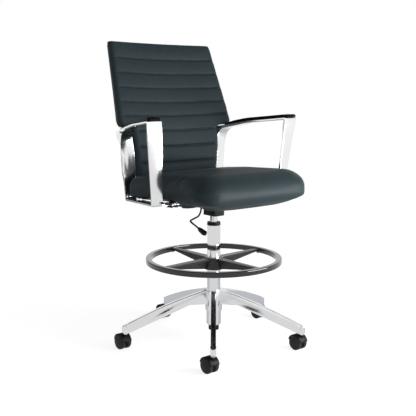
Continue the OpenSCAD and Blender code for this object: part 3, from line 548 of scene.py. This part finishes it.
# the sweep follows the foot and turns up into the post: x from the post's inner side, z
SWEEP_LOW = -1.3
SWEEP_CORNER, SWEEP_TOP = (5, SWEEP_LOW), (11, 80)
SWEEP_BACK = ((16, 60), (12, SWEEP_LOW))
SWEEP_R, SWEEP_POINTS = 24, 9
SWEEP_W = 8
ARM_BEVEL, ARM_SEGMENTS, ARM_SHARP = 0.0012, 2, 50
PAD_START, PAD_END = POST_FRONT_Y + 140, POST_FRONT_Y + 272  # the pad thins out between these places
PAD_INSET, PAD_TIP = 3, 5  # from the band's edges, and the width of the rear end
RAIL_LOW = RAIL_REAR_H - 8  # the outline's points above this are the rail's
PAD_LOSS = 0.86  # share of the thickness that is gone at the end
# how late the pad loses its thickness and its width: in its solid and in the scene
THICK_POWERS, WIDE_POWERS = (0.8, 2.6), (1.3, 3.2)


def arc(before, at, after, radius, count):
    """Points that round the corner at with a radius."""
    before, at, after = (np.array(v[:2], float) for v in (before, at, after))
    u = (before - at) / np.linalg.norm(before - at)
    v = (after - at) / np.linalg.norm(after - at)
    half = math.acos(float(u @ v)) / 2
    mid = (u + v) / np.linalg.norm(u + v)
    centre = at + mid * radius / math.sin(half)
    start = at + u * radius / math.tan(half) - centre
    end = at + v * radius / math.tan(half) - centre
    a0 = math.atan2(start[1], start[0])
    sweep = (math.atan2(end[1], end[0]) - a0 + 3 * math.pi) % (2 * math.pi) - math.pi
    turns = [a0 + sweep * i / (count - 1) for i in range(count)]
    return [centre + radius * np.array([math.cos(t), math.sin(t)]) for t in turns]


def outline(corners):
    """Points of a closed outline with rounded corners."""
    count = len(corners)
    out = []
    for i, at in enumerate(corners):
        out += arc(corners[i - 1], at, corners[(i + 1) % count], at[2], at[3])
    return out


def between(pair, share):
    """The value a share of the way from the first of a pair to the second."""
    return pair[0] + (pair[1] - pair[0]) * share


def eased(value, low, high):
    """0 below low, 1 above high, smooth between."""
    t = min(1, max(0, (value - low) / (high - low)))
    return t * t * (3 - 2 * t)


def band_x(y, z):
    """Outer and inner side of the band at a place of the loop."""
    up = z / RAIL_H
    forward = (POST_REAR_Y - y) / (POST_REAR_Y - POST_FRONT_Y) * NOSE_REACH
    out_rear, out_front = between(OUT_REAR, up), between(OUT_FRONT, up)
    wide_rear, wide_front = between(WIDTH_REAR, up), between(WIDTH_FRONT, up)
    out = SEAT_HALF + out_rear + (out_front - out_rear) * forward
    return out, out - wide_rear - (wide_front - wide_rear) * forward


def face_depth(u, face):
    """How deep a face of the band lies at the share u of its width, from its crown and its flutes."""
    flutes = sum(math.exp(-(((u - at) / FLUTE_HALF) ** 2)) for at in FLUTES[face])
    return BAND_CROWN[face] * (2 * u - 1) ** 2 + FLUTE_DEPTH * flutes


def slant_at(y, z):
    """How far a post's face slants at a place of the loop."""
    front = SLANT_FRONT * (1 - eased(z, *FRONT_GONE_Z)) * (1 - eased(y, *FRONT_GONE_Y))
    rear = SLANT_REAR * eased(z, *REAR_COMES_Z) * (1 - eased(z, *REAR_GONE_Z)) * eased(y, *REAR_COMES_Y)
    return math.tan(front + rear)


def band_ring(outer, inner):
    """Points of the band's section at one station, from its outer side round."""
    corners = []
    for y, z in (outer, inner):
        out, far_in = band_x(y, z)
        corners.append((np.array([out, y, z]), np.array([far_in, y, z])))
    (a, b), (d, c) = corners
    thick = float(np.linalg.norm(a - d))
    wide = float(np.linalg.norm(a - b))
    margin = BAND_EDGE / wide
    turns = [math.radians(t) for t in EDGE_TURNS]
    upright = POST_LOW < (outer[1] + inner[1]) / 2 < POST_HIGH
    ring = []
    for face in ("outer", "inner"):
        flat = [(u, face_depth(u, face)) for u in np.linspace(margin, 1 - margin, FACE_POINTS)]
        last = flat[-1][1]
        turn = [(1 - margin * (1 - math.cos(t)), last + BAND_EDGE * (1 - math.sin(t))) for t in turns]
        turn.append((1.0, last + BAND_EDGE + SIDE_HOLD if upright else SIDE_MIDDLE * thick))
        section = [(1 - u, v) for u, v in reversed(turn)] + flat + turn
        if face == "inner":
            section.reverse()
        for u, v in section:
            share = v / thick if face == "outer" else 1 - v / thick
            ring.append((a + (b - a) * u) * (1 - share) + (d + (c - d) * u) * share)
    middle = (a + b + c + d) / 4
    slant = slant_at(middle[1], middle[2])
    return [point + np.array([0, (point[0] - middle[0]) * slant, 0]) for point in ring]


def stations():
    """Pairs of outline points, outer and inner, with the long stretches divided."""
    pairs = list(zip(outline(BAND_OUTER), outline(BAND_INNER)))
    out = []
    for i, (outer, inner) in enumerate(pairs):
        next_outer, next_inner = pairs[(i + 1) % len(pairs)]
        parts = max(1, math.ceil(float(np.linalg.norm(next_outer - outer)) / STATION_GAP))
        for t in np.arange(parts) / parts:
            out.append((outer + (next_outer - outer) * t, inner + (next_inner - inner) * t))
    return out


def plate(profile, width):
    """Two rings: a profile of x and z on both sides of the front post's middle."""
    sides = (POST_FRONT_Y - width / 2, POST_FRONT_Y + width / 2)
    return [[np.array([x, y, z]) for x, z in profile] for y in sides]


def foot_and_sweep():
    """Rings of the foot and, behind it, of the sweep from the foot up into the front post."""
    post_in = band_x(POST_FRONT_Y, 0)[1]
    root = post_in + FOOT_ROOT
    box = [(FOOT_END, FOOT_LOW), (root, FOOT_LOW), (root, FOOT_TOP), (FOOT_END, FOOT_TOP)]
    corner, top, *back = ((post_in + x, z) for x, z in (SWEEP_CORNER, SWEEP_TOP, *SWEEP_BACK))
    bend = arc((FOOT_END, SWEEP_LOW), corner, top, SWEEP_R, SWEEP_POINTS)
    return plate(box, FOOT_W), plate(bend + back, SWEEP_W)


def add_prism(work, rings, closed):
    """Faces between neighbouring rings of points; both ends are capped unless the rings form a loop."""
    made = [[work.verts.new(point) for point in ring] for ring in rings]
    count = len(made[0])
    for i in range(len(made) if closed else len(made) - 1):
        a, b = made[i], made[(i + 1) % len(made)]
        for j in range(count):
            k = (j + 1) % count
            work.faces.new((a[j], a[k], b[k], b[j]))
    if not closed:
        work.faces.new(list(reversed(made[0])))
        work.faces.new(made[-1])


def arm_frame(side):
    work = bmesh.new()
    add_prism(work, [band_ring(outer, inner) for outer, inner in stations()], closed=True)
    for rings in foot_and_sweep():
        add_prism(work, rings, closed=False)
    bmesh.ops.recalc_face_normals(work, faces=work.faces)
    mesh = bpy.data.meshes.new(f"arm_frame_{side}_look")
    work.to_mesh(mesh)
    work.free()
    obj = linked(mesh.name, mesh)
    place(obj, transformed(positions(obj) * np.array([SIDES[side], 1, 1]) * MM, SEAT))
    if side == "left":
        mesh.flip_normals()
    bevelled(obj, ARM_BEVEL, ARM_SEGMENTS, ARM_SHARP)
    finished(obj, "polished_aluminium", "tilt", f"arm_frame_{side}")


def fuller_pad(side):
    """The soft pad keeps its thickness and width further back than its solid."""
    obj = bpy.data.objects[f"arm_pad_{side}_look"]
    x, y, z = in_seat(obj) / MM
    top = np.array([point for point in outline(BAND_OUTER) if point[1] > RAIL_LOW])
    top = top[np.argsort(top[:, 0])]
    rail = np.interp(y, top[:, 0], top[:, 1])
    late = grown(y, PAD_START, PAD_END - PAD_START)
    thin = [1 - PAD_LOSS * late**power for power in THICK_POWERS]
    z = np.where(late > 0, rail + (z - rail) * thin[1] / thin[0], z)
    far_out, far_in = band_x(y, z)
    far_out = far_out - PAD_INSET
    full = far_out - far_in - PAD_INSET
    wide = [full + (PAD_TIP - full) * late**power for power in WIDE_POWERS]
    spread = far_out - (far_out - np.abs(x)) * wide[1] / wide[0]
    x = np.where(late > 0, np.sign(x) * spread, x)
    place_in_seat(obj, x * MM, y * MM, z * MM)


# ---------------------------------------------------------------- hard pieces
PART_SEGMENTS, PART_SHARP = 3, 28
SOFTENED = {
    # CAD node: (material slot, body, edge radius)
    "base_casting": ("polished_aluminium", "base", 0.0022),
    "column_bush": ("black_plastic", "base", 0.0015),
    "footring_spider": ("spider_paint", "footring", 0.0015),
    "mechanism_housing": ("black_steel", "lift", 0.0015),
    "seat_plate": ("black_steel", "tilt", 0.0006),
    "back_bar": ("black_steel", "tilt", 0.0012),
    "back_shell": ("black_plastic", "tilt", 0.0025),
    "lever_paddle": ("black_plastic", "lever", 0.0015),
}
for side in SIDES:
    SOFTENED[f"arm_pad_{side}"] = ("pad_rubber", "tilt", 0.0015)
    SOFTENED[f"arm_bracket_{side}"] = ("black_steel", "tilt", 0.001)
for k in range(1, 6):
    SOFTENED[f"castor_hood_{k}"] = ("black_plastic", f"castor_{k}", 0.0012)


def softened(cad_node, slot_name, body, radius):
    """The CAD node with its sharp edges rounded, as cast, moulded or pressed parts are."""
    obj = cad_copy(cad_node, cad_node + "_look")
    bevelled(obj, radius, PART_SEGMENTS, PART_SHARP)
    finished(obj, slot_name, body, cad_node)


def carried_over():
    """CAD nodes that show as they are get the node material of their slot."""
    for part in frame["record"]["subparts"]:
        shown = frame["nodes"][part["node"]]
        shown.data.materials.clear()
        shown.data.materials.append(BY_SLOT[part["material_slot"]])


# ---------------------------------------------------------------- studio
CAMERA_AT = (-1.7006, -2.0430, 0.9269)
CAMERA_AIM = (-0.0367, -0.0107, 0.5173)
LENS_MM, SENSOR_MM = 62.65, 36
CLIP_END = 200
LIGHTS = {
    # name: (place, aim, width and height, watts)
    "key": ((1.4, -3.2, 1.9), (0, 0, 0.5), (2.2, 2.2), 42),
    "fill": ((3.0, 1.2, 2.6), (0, 0, 0.5), (2.5, 2.5), 5),
    "low": ((0.6, -1.05, 0.5), (0.05, -0.27, 0.6), (0.8, 0.35), 15),
}
FLOOR_SIDE = 60.0
FLOOR_COLOR = (0.93, 0.93, 0.93, 1)
FLOOR_SHADOW = 0.34  # share of the floor's look that takes light and shadow
FLOOR_WHITE = 1.22  # strength of the white that is the rest of it
# mirrors see a floor with painted shade, greyer near the chair and greyest at its rear; each tone ends
# between two distances
TO_FRONT, FRONTAL = (-0.634, -0.774), (-0.2, 0.5)  # the direction of the front tone, and how narrow it is
NEAR_FRONT_PAINTED_SHADE, NEAR_REAR_PAINTED_SHADE, NEAR_END = (0.8, 0.8, 0.81), (0.56, 0.58, 0.61), (1.05, 1.45)
MIDDLE_PAINTED_SHADE, MIDDLE_END = (0.84, 0.84, 0.84), (2.8, 3.2)
# painted reflection: mirrors see a dark card painted on the floor, where none lies: its direction, how narrow
# it is, and where it starts and ends
PAINTED_CARD_SIDE = (-0.6, 0.8)
PAINTED_CARD_NARROW = (0.66, 0.78)
PAINTED_CARD_START, PAINTED_CARD_END = (2.5, 2.8), (7.2, 7.5)
PAINTED_CARD_DARK = (0.08, 0.08, 0.08)
# mirrors see a room that darkens overhead, between two heights
ROOM_TOP, ROOM_RISE = (0.11, 0.115, 0.12), (0.2, 0.62)
# the room lights the chair from one side
LIT_FROM, LIT_SPREAD = (0.6, -0.78, 0.17), (-0.5, 1.0)
WORLD_LOW, WORLD_HIGH = (0.12, 0.12, 0.12), (1.3, 1.3, 1.3)


def aimed(name, data, at, aim):
    """A new object at a place, turned towards another place."""
    obj = linked(name, data)
    obj.location = at
    obj.rotation_euler = (Vector(aim) - Vector(at)).to_track_quat("-Z", "Y").to_euler()
    return obj


def camera():
    data = bpy.data.cameras.new("camera")
    data.lens = LENS_MM
    data.sensor_width = SENSOR_MM
    data.clip_end = CLIP_END
    bpy.context.scene.camera = aimed("camera", data, CAMERA_AT, CAMERA_AIM)


def lights():
    for name, (at, aim, size, watts) in LIGHTS.items():
        data = bpy.data.lights.new(name, "AREA")
        data.shape = "RECTANGLE"
        data.size, data.size_y = size
        data.energy = watts
        aimed(name, data, at, aim)


def calc(tree, operation, a, b=None):
    """Result of a maths node; a and b are numbers or sockets."""
    made = node(tree, "ShaderNodeMath", operation=operation)
    for i, value in enumerate((a, b)):
        if value is None:
            continue
        if isinstance(value, (int, float)):
            made.inputs[i].default_value = value
        else:
            tree.links.new(value, made.inputs[i])
    return made.outputs[0]


def step_up(tree, value, low, high):
    """0 below low, 1 above high, smooth between."""
    made = node(tree, "ShaderNodeMapRange", interpolation_type="SMOOTHSTEP")
    made.inputs["From Min"].default_value = low
    made.inputs["From Max"].default_value = high
    tree.links.new(value, made.inputs["Value"])
    return made.outputs["Result"]


def split(tree, vector):
    made = node(tree, "ShaderNodeSeparateXYZ")
    tree.links.new(vector, made.inputs[0])
    return list(made.outputs)


def along(tree, axes, direction):
    """How far a place lies in a direction."""
    total = 0.0
    for axis, share in zip(axes, direction):
        total = calc(tree, "ADD", calc(tree, "MULTIPLY", axis, share), total)
    return total


def mixed_shader(tree, share, a, b):
    """Shader a where share is 0, b where it is 1; share is a number or a socket."""
    made = node(tree, "ShaderNodeMixShader")
    if isinstance(share, float):
        made.inputs["Fac"].default_value = share
    else:
        tree.links.new(share, made.inputs["Fac"])
    tree.links.new(a, made.inputs[1])
    tree.links.new(b, made.inputs[2])
    return made.outputs["Shader"]


def ray_kinds(tree):
    """1 for rays from the camera or through something clear, and 1 for rays from a mirror."""
    path = node(tree, "ShaderNodeLightPath")
    direct = calc(tree, "MAXIMUM", path.outputs["Is Camera Ray"], path.outputs["Is Transmission Ray"])
    return direct, path.outputs["Is Glossy Ray"]


def painted_floor_reflection(tree):
    """Painted floor reflection: greyer near the chair with painted shade, and with a painted dark card."""
    x, y = split(tree, node(tree, "ShaderNodeNewGeometry").outputs["Position"])[:2]
    away = calc(tree, "SQRT", calc(tree, "ADD", calc(tree, "MULTIPLY", x, x), calc(tree, "MULTIPLY", y, y)))
    frontal = step_up(tree, calc(tree, "DIVIDE", along(tree, (x, y), TO_FRONT), away), *FRONTAL)
    # painted shade: the floor that mirrors see is greyer near the chair
    near = blended(tree, frontal, NEAR_REAR_PAINTED_SHADE, NEAR_FRONT_PAINTED_SHADE)
    middle = blended(tree, step_up(tree, away, *NEAR_END), near, MIDDLE_PAINTED_SHADE)
    wide = blended(tree, step_up(tree, away, *MIDDLE_END), middle, WHITE)
    # painted reflection: a dark patch that only mirrors see on the floor
    painted_card = step_up(tree, calc(tree, "DIVIDE", along(tree, (x, y), PAINTED_CARD_SIDE), away), *PAINTED_CARD_NARROW)
    painted_card = calc(tree, "MULTIPLY", painted_card, step_up(tree, away, *PAINTED_CARD_START))
    painted_card = calc(tree, "MULTIPLY", painted_card, calc(tree, "SUBTRACT", 1.0, step_up(tree, away, *PAINTED_CARD_END)))
    return blended(tree, painted_card, wide, PAINTED_CARD_DARK)


def floor():
    """A pale floor: white with faint shadows when seen directly, and the painted floor reflection in mirrors.
    """
    mesh = bpy.data.meshes.new("floor")
    h = FLOOR_SIDE / 2
    mesh.from_pydata([(-h, -h, 0), (h, -h, 0), (h, h, 0), (-h, h, 0)], [], [(0, 1, 2, 3)])
    obj = linked("floor", mesh)
    mat, tree, shader = new_material("floor")
    shader.inputs["Base Color"].default_value = FLOOR_COLOR
    shader.inputs["Roughness"].default_value = 0.9
    shader.inputs["Specular IOR Level"].default_value = 0.1
    lit = shader.outputs["BSDF"]
    direct, glossy = ray_kinds(tree)
    white = node(tree, "ShaderNodeEmission", Strength=FLOOR_WHITE)
    plain = mixed_shader(tree, 1 - FLOOR_SHADOW, lit, white.outputs["Emission"])
    seen = mixed_shader(tree, direct, lit, plain)
    # painted reflection: mirrors see the painted floor colour, not the lit floor
    painted_reflection = node(tree, "ShaderNodeEmission")
    tree.links.new(painted_floor_reflection(tree), painted_reflection.inputs["Color"])
    whole = mixed_shader(tree, glossy, seen, painted_reflection.outputs["Emission"])
    tree.links.new(whole, tree.nodes["Material Output"].inputs["Surface"])
    mesh.materials.append(mat)


def world():
    """White when seen directly, the room in mirrors, and light from one side for everything else."""
    made = bpy.data.worlds.new("studio")
    bpy.context.scene.world = made
    made.use_nodes = True
    tree = made.node_tree
    direct, glossy = ray_kinds(tree)
    axes = split(tree, node(tree, "ShaderNodeTexCoord").outputs["Generated"])
    room = blended(tree, step_up(tree, axes[2], *ROOM_RISE), WHITE, ROOM_TOP)
    light = blended(tree, step_up(tree, along(tree, axes, LIT_FROM), *LIT_SPREAD), WORLD_LOW, WORLD_HIGH)
    shown = blended(tree, direct, blended(tree, glossy, light, room), WHITE)
    tree.links.new(shown, tree.nodes["Background"].inputs["Color"])


# ---------------------------------------------------------------- the scene
scene = bpy.context.scene
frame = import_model()
carried_over()
for cad_node, look in SOFTENED.items():
    softened(cad_node, *look)
for side in SIDES:
    arm_frame(side)
    fuller_pad(side)
seat_cushion()
back_cushion()
floor()
world()
lights()
camera()
scene.view_settings.view_transform = "Standard"
